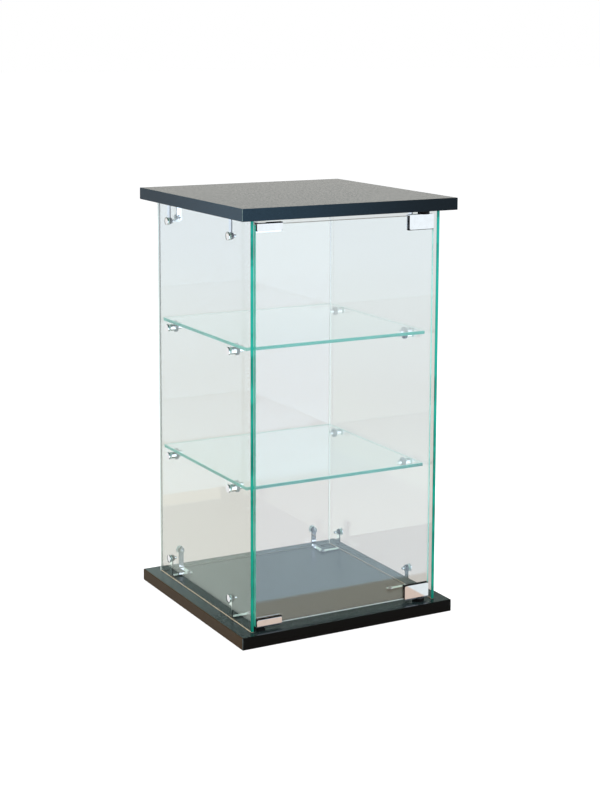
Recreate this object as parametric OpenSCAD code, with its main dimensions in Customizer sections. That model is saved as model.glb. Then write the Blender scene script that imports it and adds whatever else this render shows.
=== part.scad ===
// Countertop display tower: a glass case with a pivoting glass door and two
// glass shelves, held between two square laminated boards by chromed corner
// brackets. Millimetres, +Z up, origin at the bottom centre of the base board.
// The door is at the front, towards -Y, and its pivots are on the right, +X.

/* [Boards] */
// Width of the base and top boards, left to right
board_w = 356; // [280:1:460]
// Depth of the base and top boards, front to back
board_d = 356; // [280:1:460]
// Thickness of each board
board_t = 18; // [15:1:25]
// Thickness of the edge banding
band_t = 1.5; // [1:0.1:3]
// Bevel along the outer corners of the banding
band_bevel = 0.6; // [0.2:0.1:0.9]

/* [Glass case] */
// Height of the glass panels between the two boards
glass_h = 598; // [500:1:800]
// Thickness of the side and back panels
glass_t = 5; // [4:0.5:8]
// Bevel ground along every glass edge
glass_bevel = 0.5; // [0.2:0.1:0.8]
// Side edge of a board to the outer face of a side panel
side_setback = 21; // [10:1:40]
// Front edge of a board to the front edge of a side panel
front_setback = 16; // [8:1:40]
// Back edge of a board to the back panel
back_setback = 20; // [8:1:40]
// Gap between the back panel and each side panel
back_panel_gap = 1; // [0.3:0.1:2]

/* [Door] */
// Thickness of the door glass
door_t = 5; // [4:0.5:8]
// Gap between the door and each side panel
door_side_gap = 3.8; // [3:0.1:8]
// Gap between the base board and the door glass
door_bottom_gap = 6.4; // [5.5:0.1:9]
// Gap between the door glass and the top board
door_top_gap = 7.3; // [6:0.1:12]
// Front edge of the side panels to the front face of the door
door_recess = 2.5; // [2:0.5:15]
// Pivot axis in from the door's right edge
pivot_inset = 16.5; // [12:0.5:20]

/* [Hinges] */
// Width of a hinge clamp
hinge_w = 42; // [32:1:60]
// Height of a hinge clamp
hinge_h = 22; // [16:1:32]
// Hinge clamp in from the door's right edge
hinge_inset = 1.2; // [0.5:0.1:3]
// Thickness of a clamp's front plate and web
clamp_t = 1.2; // [0.8:0.1:2]
// Thickness of a clamp's back plate, which holds the grub screws
clamp_back_t = 2.5; // [2:0.1:4]
// Corner radius of the clamp plates
plate_corner_r = 2.5; // [1:0.5:4]
// Thickness of the soft liner on each face of the glass
liner_t = 0.8; // [0.5:0.1:1.5]
// Thickness of the liner under the glass edge
liner_floor_t = 0.3; // [0.2:0.1:0.6]
// How far a liner shows past its clamp
liner_rim = 1; // [0.3:0.1:2]
// Radius of the pivot pins
pin_r = 2; // [1.5:0.1:2.5]
// Length of pin inside each bush
pin_depth = 10; // [6:0.5:12]
// Radius of the pivot bush's flange
bush_flange_r = 9; // [6:0.5:9.5]
// Thickness of the pivot bush's flange
bush_flange_t = 2; // [1:0.1:2.5]
// Radius of the pivot bush's body
bush_body_r = 4.5; // [4:0.1:6]
// Radius of the spacer between bush and clamp
spacer_r = 8.8; // [4:0.1:9]
// Radius of the grub screws
grub_r = 2; // [1.5:0.1:2.5]
// Distance between a clamp's two grub screws
grub_pitch = 22; // [14:1:28]

/* [Catches] */
// Width of a strike clip
strike_w = 41; // [30:1:60]
// Height of a strike clip
strike_h = 10.8; // [8:0.1:16]
// How far a clip's back plate reaches past its front plate
strike_back_rise = 2.4; // [0.5:0.1:5]
// Sheet thickness of a strike clip
strike_t = 1; // [0.6:0.1:1.5]
// Strike clip in from the door's left edge
strike_inset = 1.8; // [1:0.1:12]
// Thickness of the magnetic strip on a strike clip
strip_t = 1.2; // [0.8:0.1:1.8]
// Width of a catch case, along the door
catch_w = 12.5; // [10:0.5:20]
// Depth of a catch case, front to back
catch_d = 12; // [10:0.5:16]
// Radius of a catch magnet
magnet_r = 3.5; // [2:0.1:4]
// Thickness of a catch magnet
magnet_t = 1.5; // [1:0.1:1.8]
// Reach of the catch's stop past the board
stop_h = 9; // [7:0.5:14]
// Thickness of the catch's stop
stop_t = 1.6; // [1:0.1:3]

/* [Shelves] */
// Thickness of the shelves
shelf_t = 5; // [4:0.5:10]
// Underside of the lower shelf above the base board
lower_shelf_h = 204; // [110:1:300]
// Underside of the upper shelf above the base board
upper_shelf_h = 408; // [330:1:450]
// Gap between a shelf and each side panel
shelf_side_gap = 3.5; // [1:0.5:8]
// Gap between a shelf and the back panel
shelf_back_gap = 3; // [1:0.5:20]

/* [Shelf studs] */
// Radius of the soft ring that a shelf rests on
ring_r = 7; // [5.5:0.1:9]
// Width of the soft ring
ring_w = 4.5; // [3:0.1:6]
// Radius of the ring's seat on the barrel
ring_seat_r = 3.4; // [3:0.1:3.8]
// Radius of the chromed barrel
barrel_r = 5.5; // [4.2:0.05:6]
// Length of barrel between the panel and the ring
barrel_len = 8.5; // [4:0.5:12]
// Radius of the barrel's tip
tip_r = 3.5; // [3.4:0.1:4.5]
// Length of the barrel's tip
tip_len = 8; // [5:0.5:12]
// Front edge of the side panels to the front row of studs and bolts
front_row_setback = 70; // [40:1:110]
// Back edge of the side panels to the rear row of studs
rear_row_setback = 37; // [25:1:60]

/* [Corner brackets] */
// Width of the bracket strip
strap_w = 8; // [6:0.5:9]
// Thickness of the bracket strip
strap_t = 2; // [1.5:0.1:3]
// Glass face to the centre of the eye on the board
bracket_reach = 32; // [22:1:45]
// Board face to the bolt through the glass
bolt_rise = 30; // [20:1:45]
// Outer radius of the bend
bend_r = 4; // [3.5:0.5:8]
// Radius of the eye that is screwed to the board
eye_r = 5.8; // [5:0.1:7]
// Radius of the round end behind the bolt
bolt_end_r = 5.4; // [4.5:0.1:6.5]

/* [Fasteners] */
// Radius of the threaded studs through the glass
stud_r = 2; // [1.5:0.1:2.2]
// Radius of the drilled holes in the glass
glass_hole_r = 3; // [2.5:0.1:4]
// Radius of the round caps outside the glass
cap_r = 6.2; // [5:0.1:8]
// Thickness of the flat caps on the shelf studs
cap_t = 2; // [1.5:0.1:4]
// Thickness of a bolt's cap below its dome
cap_rim_t = 1.4; // [1:0.1:3]
// Height of the dome on a bolt's cap
cap_dome = 1.4; // [0.5:0.1:2]
// Radius of the soft gaskets on both faces of the glass
gasket_r = 5.2; // [4.5:0.1:5.8]
// Thickness of a gasket
gasket_t = 0.5; // [0.3:0.1:1]
// Width across flats of the bolt nuts
nut_flats = 8; // [6:0.1:9]
// Thickness of the bolt nuts
nut_t = 3.2; // [2:0.1:5]
// Length of stud past the nut
stud_tip = 4.5; // [0.5:0.1:8]
// Shank radius of the wood screws
screw_r = 1.6; // [1.2:0.1:1.8]
// Head radius of the wood screws
screw_head_r = 3.8; // [2.8:0.1:4]
// Height of the domed head above the eye
screw_dome_h = 2.7; // [0.6:0.1:3.2]
// Length of wood screw in the board
screw_depth = 12; // [8:0.5:13]

/* [Clearances] */
// Gap between parts that pass or rest beside each other
running_gap = 0.3; // [0.2:0.05:0.6]
// Radial clearance of a pivot pin in its bush
pivot_clearance = 0.05; // [0.02:0.01:0.1]
// Radial clearance of a stud, screw or magnet in its hole
hole_clearance = 0.1; // [0.05:0.05:0.3]
// Radial clearance of a stud in a bracket hole
bracket_hole_clearance = 0.2; // [0.1:0.05:0.4]
// Gap between the swinging edge of the door and the shelves
swing_clearance = 3.3; // [1:0.1:6]

/* [Hidden] */
$fn = 64;
eps = 0.01;

base_top = board_t;
case_top = base_top + glass_h;
total_h = case_top + board_t;

// Faces of the glass case
x_out = board_w / 2 - side_setback;
x_in = x_out - glass_t;
y_front = -board_d / 2 + front_setback;
y_back_out = board_d / 2 - back_setback;
y_back_in = y_back_out - glass_t;

// Door glass and the pivot axis, which lies in the middle of its thickness
door_x = x_in - door_side_gap;
door_y_front = y_front + door_recess;
door_y_mid = door_y_front + door_t / 2;
door_z0 = base_top + door_bottom_gap;
door_z1 = case_top - door_top_gap;
pivot_x = door_x - pivot_inset;

// Outlines of the parts that wrap the door's edge
liner_half = door_t / 2 + liner_t;
clamp_drop = liner_floor_t + clamp_t;
strike_drop = liner_floor_t + strike_t;
strike_back = liner_half + strike_t;
spacer_hole_r = pin_r + hole_clearance;
bore_spare = 1;
bush_end_t = 1;
bush_depth = pin_depth + bore_spare + bush_end_t;
grub_proud = 0.6;
grub_len = clamp_back_t + grub_proud;
hinge_left = pivot_inset - hinge_inset - hinge_w;
catch_gap = strike_drop + strip_t + running_gap;
strike_x = -door_x + strike_inset;
catch_x = strike_x + catch_w / 2;
spigot_r = 3;
spigot_len = 8;

// Shelves
shelf_x = x_in - shelf_side_gap;
swing_r = sqrt(pow(pivot_inset, 2) + pow(door_t / 2, 2));
shelf_y0 = door_y_mid + swing_r + swing_clearance;
shelf_y1 = y_back_in - shelf_back_gap;
shelf_bottoms = [base_top + lower_shelf_h, base_top + upper_shelf_h];

// Rows of studs and bolts
front_row_y = y_front + front_row_setback;
rear_row_y = y_back_out - rear_row_setback;
rear_bolt_x = x_in - bracket_reach;
rear_bolt_y = y_back_in - bracket_reach;
bolt_heights = [base_top + bolt_rise, case_top - bolt_rise];

stud_hole_r = stud_r + hole_clearance;
bolt_inner_len = gasket_t + strap_t + nut_t + stud_tip;
stud_inner_len = gasket_t + barrel_len + ring_w / 2;
stud_bevel = 0.3;
cap_bevel = 0.5;
cap_x = glass_t + gasket_t;
dome_rings = 6;
cap_dome_r = (pow(cap_r, 2) + pow(cap_dome, 2)) / (2 * cap_dome);
barrel_bevel = 0.4;
tip_round = 2;
ring_bevel = 0.6;
screw_sink = 1.4;
screw_point_r = 0.6;
screw_slot_len = 4;
screw_slot_w = 1.1;
screw_slot_depth = 1.2;
grub_socket_r = 1.1;
grub_socket_depth = 1.5;

laminate = "#4a545c";
banding = "#2f3d4a";
clear_glass = "#a9cfc9";
chrome = "#d4d8dc";
black_plastic = "#1b1c1e";
grey_rubber = "#7b8590";
soft_clear = "#cfd6d4";
zinc = "#b9bdc0";

// Flat shapes

// Rectangle from the origin with its four corners cut off
module cut_rectangle(w, h, bevel)
  polygon([
    [bevel, 0], [w - bevel, 0], [w, bevel], [w, h - bevel],
    [w - bevel, h], [bevel, h], [0, h - bevel], [0, bevel]
  ]);

// Plate outline from the origin whose two far corners are round
module plate_outline(w, h, r) {
  square([w, h - r]);
  translate([r, 0]) square([w - 2 * r, h]);
  for (x = [r, w - r]) translate([x, h - r]) circle(r);
}

// Section of the bracket strip, from the eye to the bolt, with its round bend
module strap_section(length, height) {
  translate([-length, 0]) square([length - bend_r, strap_t]);
  translate([-strap_t, bend_r]) square([strap_t, height - bend_r]);
  intersection() {
    translate([-bend_r, bend_r]) difference() {
      circle(bend_r);
      circle(bend_r - strap_t);
    }
    translate([-bend_r, 0]) square(bend_r);
  }
}

// Shared solids

// Box from the origin with every edge bevelled
module bevelled_box(w, d, h, bevel)
  intersection() {
    linear_extrude(h) cut_rectangle(w, d, bevel);
    translate([0, d, 0]) rotate([90, 0, 0]) linear_extrude(d) cut_rectangle(w, h, bevel);
    rotate([90, 0, 90]) linear_extrude(w) cut_rectangle(d, h, bevel);
  }

// Round piece along +X, from a half section of [along, radius] points
module turned_along_x(section)
  rotate([0, 90, 0]) rotate_extrude() polygon([for (p = section) [p[1], p[0]]]);

// Hole along X, Y or Z through the point where it is put
module hole_x(r, length) rotate([0, 90, 0]) cylinder(h = length, r = r, center = true);
module hole_z(r, length) cylinder(h = length, r = r, center = true);

module on_both_sides() {
  children();
  mirror([1, 0, 0]) children();
}

// Turns what is made against the base board over, against the top board
module under_top_board() translate([0, 0, total_h]) mirror([0, 0, 1]) children();

// Every bolt that holds a bracket, seen from its panel: the inner face at x = 0, outside towards +X
module at_bracket_bolts()
  for (z = bolt_heights)
    on_both_sides() {
      for (y = [front_row_y, rear_bolt_y]) translate([x_in, y, z]) children();
      translate([rear_bolt_x, y_back_in, z]) rotate([0, 0, 90]) children();
    }

// Every stud under a shelf, seen the same way
module at_shelf_studs()
  for (bottom = shelf_bottoms)
    on_both_sides()
      for (y = [front_row_y, rear_row_y]) translate([x_in, y, bottom - ring_r]) children();

// Every eye on the base board, at the board's face
module at_base_eyes()
  on_both_sides() for (y = [front_row_y, rear_bolt_y]) translate([rear_bolt_x, y, base_top]) children();

// The door's pivot and its left clip, from the lower edge of the glass
module at_lower_pivot() translate([pivot_x, door_y_mid, door_z0]) children();
module at_upper_pivot() translate([pivot_x, door_y_mid, door_z1]) mirror([0, 0, 1]) children();
module at_lower_strike() translate([strike_x, door_y_mid, door_z0]) children();
module at_upper_strike() translate([strike_x, door_y_mid, door_z1]) mirror([0, 0, 1]) children();

// The pivot and the catch, from the face of the base board
module at_base_pivot() translate([pivot_x, door_y_mid, base_top]) children();
module at_base_catch() translate([catch_x, door_y_mid, base_top]) children();

// Boards and their banding

module full_board()
  translate([-board_w / 2, -board_d / 2, 0]) bevelled_box(board_w, board_d, board_t, band_bevel);

// Core of the base board with its screw, bush and catch holes
module drilled_base()
  difference() {
    translate([band_t - board_w / 2, band_t - board_d / 2, 0])
      cube([board_w - 2 * band_t, board_d - 2 * band_t, board_t]);
    at_base_eyes() hole_z(screw_r, 2 * screw_depth);
    at_base_pivot() hole_z(bush_body_r, 2 * bush_depth);
    at_base_catch() hole_z(spigot_r, 2 * spigot_len);
  }

module end_bands()
  intersection() {
    full_board();
    for (y = [-board_d / 2, board_d / 2 - band_t])
      translate([-board_w / 2, y, 0]) cube([board_w, band_t, board_t]);
  }

module side_bands()
  intersection() {
    full_board();
    on_both_sides()
      translate([board_w / 2 - band_t, band_t - board_d / 2, 0])
        cube([band_t, board_d - 2 * band_t, board_t]);
  }

module base_board() color(laminate) drilled_base();
module base_end_bands() color(banding) end_bands();
module base_side_bands() color(banding) side_bands();
module top_board() color(laminate) under_top_board() drilled_base();
module top_end_bands() color(banding) under_top_board() end_bands();
module top_side_bands() color(banding) under_top_board() side_bands();

// Glass panels and shelves

module side_panel()
  difference() {
    translate([x_in, y_front, base_top]) bevelled_box(glass_t, y_back_out - y_front, glass_h, glass_bevel);
    for (y = [front_row_y, rear_bolt_y], z = bolt_heights)
      translate([x_in, y, z]) hole_x(glass_hole_r, 3 * glass_t);
    for (y = [front_row_y, rear_row_y], z = shelf_bottoms)
      translate([x_in, y, z - ring_r]) hole_x(glass_hole_r, 3 * glass_t);
  }

module right_side_glass() color(clear_glass) side_panel();
module left_side_glass() color(clear_glass) mirror([1, 0, 0]) side_panel();

module back_glass()
  color(clear_glass) difference() {
    translate([back_panel_gap - x_in, y_back_in, base_top])
      bevelled_box(2 * (x_in - back_panel_gap), glass_t, glass_h, glass_bevel);
    on_both_sides()
      for (z = bolt_heights)
        translate([rear_bolt_x, y_back_in, z]) rotate([0, 0, 90]) hole_x(glass_hole_r, 3 * glass_t);
  }

module door_glass()
  color(clear_glass) translate([-door_x, door_y_front, door_z0])
    bevelled_box(2 * door_x, door_t, door_z1 - door_z0, glass_bevel);

module shelf(bottom)
  translate([-shelf_x, shelf_y0, bottom])
    bevelled_box(2 * shelf_x, shelf_y1 - shelf_y0, shelf_t, glass_bevel);

module lower_shelf_glass() color(clear_glass) shelf(shelf_bottoms[0]);
module upper_shelf_glass() color(clear_glass) shelf(shelf_bottoms[1]);

// Caps, studs and gaskets through the glass

// Half section of a threaded stud that reaches inner_len past the inner face
function stud_points(inner_len) =
  [[-inner_len, 0], [-inner_len, stud_r - stud_bevel], [stud_bevel - inner_len, stud_r]];

// Flat cap with its stud
module capped_stud()
  turned_along_x(concat(
    stud_points(stud_inner_len),
    [[cap_x, stud_r], [cap_x, cap_r], [cap_x + cap_t - cap_bevel, cap_r]],
    [[cap_x + cap_t, cap_r - cap_bevel], [cap_x + cap_t, 0]]
  ));

// Bolt whose cap is a low dome on a rim
module domed_bolt() {
  top_x = cap_x + cap_rim_t + cap_dome;
  rim_a = asin(cap_r / cap_dome_r);
  dome = [for (k = [1 : dome_rings - 1]) let (a = rim_a * (1 - k / dome_rings))
    [top_x - cap_dome_r * (1 - cos(a)), cap_dome_r * sin(a)]];
  turned_along_x(concat(
    stud_points(bolt_inner_len),
    [[cap_x, stud_r], [cap_x, cap_r], [cap_x + cap_rim_t, cap_r]],
    dome,
    [[top_x, 0]]
  ));
}

module gasket_pair()
  for (x = [-gasket_t, glass_t])
    turned_along_x([[x, stud_hole_r], [x + gasket_t, stud_hole_r], [x + gasket_t, gasket_r], [x, gasket_r]]);

module shelf_stud_caps() color(chrome) at_shelf_studs() capped_stud();
module shelf_stud_gaskets() color(soft_clear) at_shelf_studs() gasket_pair();
module bracket_bolts() color(chrome) at_bracket_bolts() domed_bolt();
module bracket_gaskets() color(soft_clear) at_bracket_bolts() gasket_pair();

// Barrel that screws onto the stud, with the ring's seat and a rounded tip
module barrel() {
  x0 = -gasket_t;
  x1 = x0 - barrel_len;
  x2 = x1 - ring_w;
  x3 = x2 - tip_len;
  rounding = [for (a = [0 : 22.5 : 90]) [x3 + tip_round * (1 - sin(a)), tip_r - tip_round * (1 - cos(a))]];
  turned_along_x(concat(
    [[x0, stud_hole_r], [x0, barrel_r - barrel_bevel], [x0 - barrel_bevel, barrel_r], [x1, barrel_r]],
    [[x1, ring_seat_r], [x2, ring_seat_r], [x2, tip_r]],
    rounding,
    [[x3, 0], [-stud_inner_len - running_gap, 0], [-stud_inner_len - running_gap, stud_hole_r]]
  ));
}

module soft_ring() {
  x1 = -gasket_t - barrel_len;
  x2 = x1 - ring_w;
  turned_along_x([
    [x1, ring_seat_r], [x1, ring_r - ring_bevel], [x1 - ring_bevel, ring_r],
    [x2 + ring_bevel, ring_r], [x2, ring_r - ring_bevel], [x2, ring_seat_r]
  ]);
}

module shelf_stud_barrels() color(chrome) at_shelf_studs() barrel();
module shelf_stud_rings() color(grey_rubber) at_shelf_studs() soft_ring();

module nut()
  translate([-gasket_t - strap_t - nut_t, 0, 0]) rotate([0, 90, 0]) difference() {
    cylinder(h = nut_t, d = nut_flats / cos(30), $fn = 6);
    translate([0, 0, nut_t / 2]) hole_z(stud_hole_r, 2 * nut_t);
  }

module bracket_nuts() color(chrome) at_bracket_bolts() nut();

// Corner brackets

// One arm, from its eye on the board to its round end on the panel. The panel's face is at x = 0.
module bracket_arm()
  difference() {
    union() {
      translate([-gasket_t, 0, 0]) rotate([90, 0, 0]) translate([0, 0, -strap_w / 2])
        linear_extrude(strap_w) strap_section(bracket_reach - gasket_t, bolt_rise);
      translate([-bracket_reach, 0, 0]) cylinder(h = strap_t, r = eye_r);
      translate([-gasket_t - strap_t, 0, bolt_rise]) rotate([0, 90, 0]) cylinder(h = strap_t, r = bolt_end_r);
    }
    translate([0, 0, bolt_rise]) hole_x(stud_r + bracket_hole_clearance, 3 * (gasket_t + strap_t));
    translate([-bracket_reach, 0, 0]) eye_cut();
  }

// Screw hole and countersink in an eye
module eye_cut() {
  hole_z(screw_r + hole_clearance, 3 * strap_t);
  translate([0, 0, strap_t - screw_sink])
    cylinder(h = screw_sink + eps, r1 = screw_r + hole_clearance, r2 = screw_head_r + hole_clearance);
}

module front_brackets()
  on_both_sides() translate([x_in, front_row_y, base_top]) bracket_arm();

// Two arms that share an eye, one on the side panel and one on the back panel
module rear_brackets()
  on_both_sides() difference() {
    union() {
      translate([x_in, rear_bolt_y, base_top]) bracket_arm();
      translate([rear_bolt_x, y_back_in, base_top]) rotate([0, 0, 90]) bracket_arm();
    }
    translate([rear_bolt_x, rear_bolt_y, base_top]) eye_cut();
  }

module lower_front_brackets() color(chrome) front_brackets();
module upper_front_brackets() color(chrome) under_top_board() front_brackets();
module lower_rear_brackets() color(chrome) rear_brackets();
module upper_rear_brackets() color(chrome) under_top_board() rear_brackets();

// Sunk screw with an oval head and a cross slot, seen from the board's face
module wood_screw()
  difference() {
    rotate_extrude() polygon(concat(
      [[0, -screw_depth], [screw_point_r, -screw_depth], [screw_r, 2 * screw_r - screw_depth]],
      [[screw_r, strap_t - screw_sink]],
      [for (k = [0 : dome_rings - 1]) let (a = 90 * k / dome_rings)
        [screw_head_r * cos(a), strap_t + screw_dome_h * sin(a)]],
      [[0, strap_t + screw_dome_h]]
    ));
    for (a = [45, 135])
      translate([0, 0, strap_t + screw_dome_h]) rotate([0, 0, a])
        cube([screw_slot_len, screw_slot_w, 2 * screw_slot_depth], center = true);
  }

module base_wood_screws() at_base_eyes() wood_screw();
module bracket_wood_screws()
  color(zinc) {
    base_wood_screws();
    under_top_board() base_wood_screws();
  }

// Hinges. The glass edge is at z = 0 and the glass is above it.

// Channel round the glass edge, from front to back of the middle of the glass
module channel(w, height, drop, front, back)
  intersection() {
    translate([0, -front, -drop]) difference() {
      cube([w, front + back, height]);
      translate([-eps, front - liner_half, drop - liner_floor_t]) cube([w + 2 * eps, 2 * liner_half, height]);
    }
    translate([0, back + eps, -drop]) rotate([90, 0, 0]) linear_extrude(front + back + 2 * eps)
      plate_outline(w, height, plate_corner_r);
  }

// Soft liner between channel and glass, which shows past its far end and free edge
module liner(w, height, rim_near, rim_far)
  translate([-rim_near, -liner_half, -liner_floor_t]) difference() {
    cube([w + rim_near + rim_far, 2 * liner_half, height]);
    translate([-eps, liner_t, liner_floor_t]) cube([w + rim_near + rim_far + 2 * eps, door_t, height]);
  }

// The two grub screw places on a hinge clamp's back plate
module at_grub_screws()
  for (x = [-grub_pitch / 2, grub_pitch / 2])
    translate([hinge_left + hinge_w / 2 + x, liner_half, hinge_h / 2]) rotate([90, 0, 0]) children();

module hinge_clamp()
  difference() {
    translate([hinge_left, 0, 0])
      channel(hinge_w, hinge_h, clamp_drop, liner_half + clamp_t, liner_half + clamp_back_t);
    hole_z(pin_r, 4 * clamp_drop);
    at_grub_screws() hole_z(grub_r, 3 * clamp_back_t);
  }

module hinge_liner()
  translate([hinge_left, 0, 0]) liner(hinge_w, hinge_h - clamp_t + liner_rim, liner_rim, 0);

// Grub screw with its hexagon socket
module grub_screw()
  translate([0, 0, -grub_len]) difference() {
    cylinder(h = grub_len, r = grub_r);
    translate([0, 0, -eps]) cylinder(h = grub_socket_depth, r = grub_socket_r, $fn = 6);
  }

// Pin from the web of the clamp into the bush, when the board is gap below the glass
module pivot_pin(gap)
  translate([0, 0, -gap - pin_depth]) cylinder(h = gap + pin_depth - liner_floor_t, r = pin_r);

module pivot_spacer(gap)
  translate([0, 0, bush_flange_t + running_gap - gap]) difference() {
    cylinder(h = gap - bush_flange_t - running_gap - clamp_drop, r = spacer_r);
    hole_z(spacer_hole_r, 4 * gap);
  }

// Flanged bush, seen from the board's face
module pivot_bush()
  difference() {
    union() {
      cylinder(h = bush_flange_t, r = bush_flange_r);
      translate([0, 0, -bush_depth]) cylinder(h = bush_depth, r = bush_body_r);
    }
    translate([0, 0, bush_end_t - bush_depth])
      cylinder(h = bush_depth - bush_end_t + bush_flange_t + eps, r = pin_r + pivot_clearance);
  }

module lower_hinge_clamp() color(chrome) at_lower_pivot() hinge_clamp();
module upper_hinge_clamp() color(chrome) at_upper_pivot() hinge_clamp();
module lower_hinge_liner() color(black_plastic) at_lower_pivot() hinge_liner();
module upper_hinge_liner() color(black_plastic) at_upper_pivot() hinge_liner();
module lower_pivot_pin() color(zinc) at_lower_pivot() pivot_pin(door_bottom_gap);
module upper_pivot_pin() color(zinc) at_upper_pivot() pivot_pin(door_top_gap);
module lower_pivot_spacer() color(black_plastic) at_lower_pivot() pivot_spacer(door_bottom_gap);
module upper_pivot_spacer() color(black_plastic) at_upper_pivot() pivot_spacer(door_top_gap);
module lower_pivot_bush() color(black_plastic) at_base_pivot() pivot_bush();
module upper_pivot_bush() color(black_plastic) under_top_board() at_base_pivot() pivot_bush();

module hinge_grub_screws()
  color(zinc) {
    at_lower_pivot() at_grub_screws() grub_screw();
    at_upper_pivot() at_grub_screws() grub_screw();
  }

// Strike clips on the door and the magnetic catches on the boards

// Channel on the glass, with a taller back plate
module strike_clip() {
  channel(strike_w, strike_h, strike_drop, strike_back, strike_back);
  translate([0, strike_back, -strike_drop]) rotate([90, 0, 0]) linear_extrude(strike_t)
    plate_outline(strike_w, strike_h + strike_back_rise, plate_corner_r);
}

// Liner of a strike clip, which shows past the clip's free edge by rim
module strike_liner(rim) liner(strike_w, strike_h - strike_t + rim, liner_rim, 0);

module magnet_strip()
  translate([0, -liner_half, -strike_drop - strip_t]) cube([strike_w, 2 * liner_half, strip_t]);

module lower_strike_clip() color(chrome) at_lower_strike() strike_clip();
module upper_strike_clip() color(chrome) at_upper_strike() strike_clip();
module lower_strike_liner() color(black_plastic) at_lower_strike() strike_liner(liner_rim);
module upper_strike_liner() color(black_plastic) at_upper_strike() strike_liner(0);
module strike_magnet_strips()
  color(black_plastic) {
    at_lower_strike() magnet_strip();
    at_upper_strike() magnet_strip();
  }

// Case with its spigot, magnet pocket and stop, seen from the board's face under the clip
module catch_case(gap) {
  case_h = gap - catch_gap;
  stop_y = strike_back + running_gap;
  difference() {
    union() {
      translate([-catch_w / 2, -catch_d / 2, 0]) cube([catch_w, catch_d, case_h]);
      translate([-catch_w / 2, stop_y, 0]) cube([catch_w, stop_t, stop_h]);
      translate([-catch_w / 2, 0, 0]) cube([catch_w, stop_y + eps, case_h]);
      translate([0, 0, -spigot_len]) cylinder(h = spigot_len, r = spigot_r);
    }
    translate([0, 0, case_h - magnet_t]) cylinder(h = magnet_t + eps, r = magnet_r + hole_clearance);
  }
}

module catch_magnet(gap)
  translate([0, 0, gap - catch_gap - magnet_t]) cylinder(h = magnet_t, r = magnet_r);

module lower_catch_case() color(black_plastic) at_base_catch() catch_case(door_bottom_gap);
module upper_catch_case() color(zinc) under_top_board() at_base_catch() catch_case(door_top_gap);
module catch_magnets()
  color(zinc) {
    at_base_catch() catch_magnet(door_bottom_gap);
    under_top_board() at_base_catch() catch_magnet(door_top_gap);
  }

base_board();
base_end_bands();
base_side_bands();
top_board();
top_end_bands();
top_side_bands();
left_side_glass();
right_side_glass();
back_glass();
lower_shelf_glass();
upper_shelf_glass();
shelf_stud_caps();
shelf_stud_gaskets();
shelf_stud_barrels();
shelf_stud_rings();
lower_rear_brackets();
lower_front_brackets();
upper_rear_brackets();
upper_front_brackets();
bracket_bolts();
bracket_gaskets();
bracket_nuts();
bracket_wood_screws();
lower_pivot_bush();
upper_pivot_bush();
lower_catch_case();
upper_catch_case();
catch_magnets();
door_glass();
lower_hinge_clamp();
upper_hinge_clamp();
lower_hinge_liner();
upper_hinge_liner();
lower_pivot_pin();
upper_pivot_pin();
lower_pivot_spacer();
upper_pivot_spacer();
hinge_grub_screws();
lower_strike_clip();
upper_strike_clip();
lower_strike_liner();
upper_strike_liner();
strike_magnet_strips();
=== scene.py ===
"""Looks of the countertop display tower: finishes, eased metal edges, studio and camera."""

import logging
import math
from dataclasses import dataclass
from enum import Enum
from typing import Any, ClassVar, Optional, Sequence

import bmesh
import bpy
from mathutils import Matrix, Vector


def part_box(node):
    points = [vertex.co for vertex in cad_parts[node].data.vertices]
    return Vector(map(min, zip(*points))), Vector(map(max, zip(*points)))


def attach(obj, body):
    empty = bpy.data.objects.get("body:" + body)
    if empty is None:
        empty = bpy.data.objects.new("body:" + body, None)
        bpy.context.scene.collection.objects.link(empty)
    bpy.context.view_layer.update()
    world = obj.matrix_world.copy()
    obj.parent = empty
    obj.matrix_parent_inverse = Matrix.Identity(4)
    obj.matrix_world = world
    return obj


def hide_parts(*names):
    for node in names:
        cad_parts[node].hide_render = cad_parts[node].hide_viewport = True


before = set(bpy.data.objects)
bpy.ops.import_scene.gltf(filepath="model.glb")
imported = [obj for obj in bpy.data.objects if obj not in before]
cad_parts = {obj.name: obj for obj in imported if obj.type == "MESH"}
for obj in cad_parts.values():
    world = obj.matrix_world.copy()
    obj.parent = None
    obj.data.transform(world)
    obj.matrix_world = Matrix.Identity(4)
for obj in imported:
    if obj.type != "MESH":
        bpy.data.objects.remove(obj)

Colour = tuple[float, float, float, float]
Point = tuple[float, float, float]
Span = tuple[float, float]
Socket = bpy.types.NodeSocket
LOG = logging.getLogger("display_tower")
MM = 0.001  # Metres in a millimetre
INDEX = 1.5  # Refraction index of glass, laminate and banding
WHITE: Colour = (1, 1, 1, 1)
CLOUDED: Span = (0.35, 0.7)  # Where a soft noise starts and ends to show
GRAINED: Span = (0.3, 0.7)  # Where a fine noise starts and ends to change the gloss
SOFT_BEND = math.radians(35)  # Faces that bend less than this are shaded as one
FLAT_BEND = math.radians(0.5)  # Faces that bend less than this are joined
ROUND_STEPS = 3  # Segments in a rounded edge
SAME_POINT = 0.001 * MM  # Points nearer than this are joined


def paint(red: int, green: int, blue: int) -> Colour:
    """Turns a colour as a screen shows it into the linear colour that a shader takes.

    Args:
        red: Red, 0 to 255.
        green: Green, 0 to 255.
        blue: Blue, 0 to 255.

    Returns:
        The linear colour, with full alpha.
    """
    parts = [c / 255 for c in (red, green, blue)]
    # The standard curve of screen colours
    linear = [c / 12.92 if c <= 0.04045 else ((c + 0.055) / 1.055) ** 2.4 for c in parts]
    return (linear[0], linear[1], linear[2], 1.0)


class Body(Enum):
    """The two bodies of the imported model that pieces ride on."""

    CABINET = "cabinet"
    DOOR = "door"


class Axis(Enum):
    """The direction through the thickness of a pane, or along an edge."""

    X = 0
    Y = 1
    Z = 2


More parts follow.
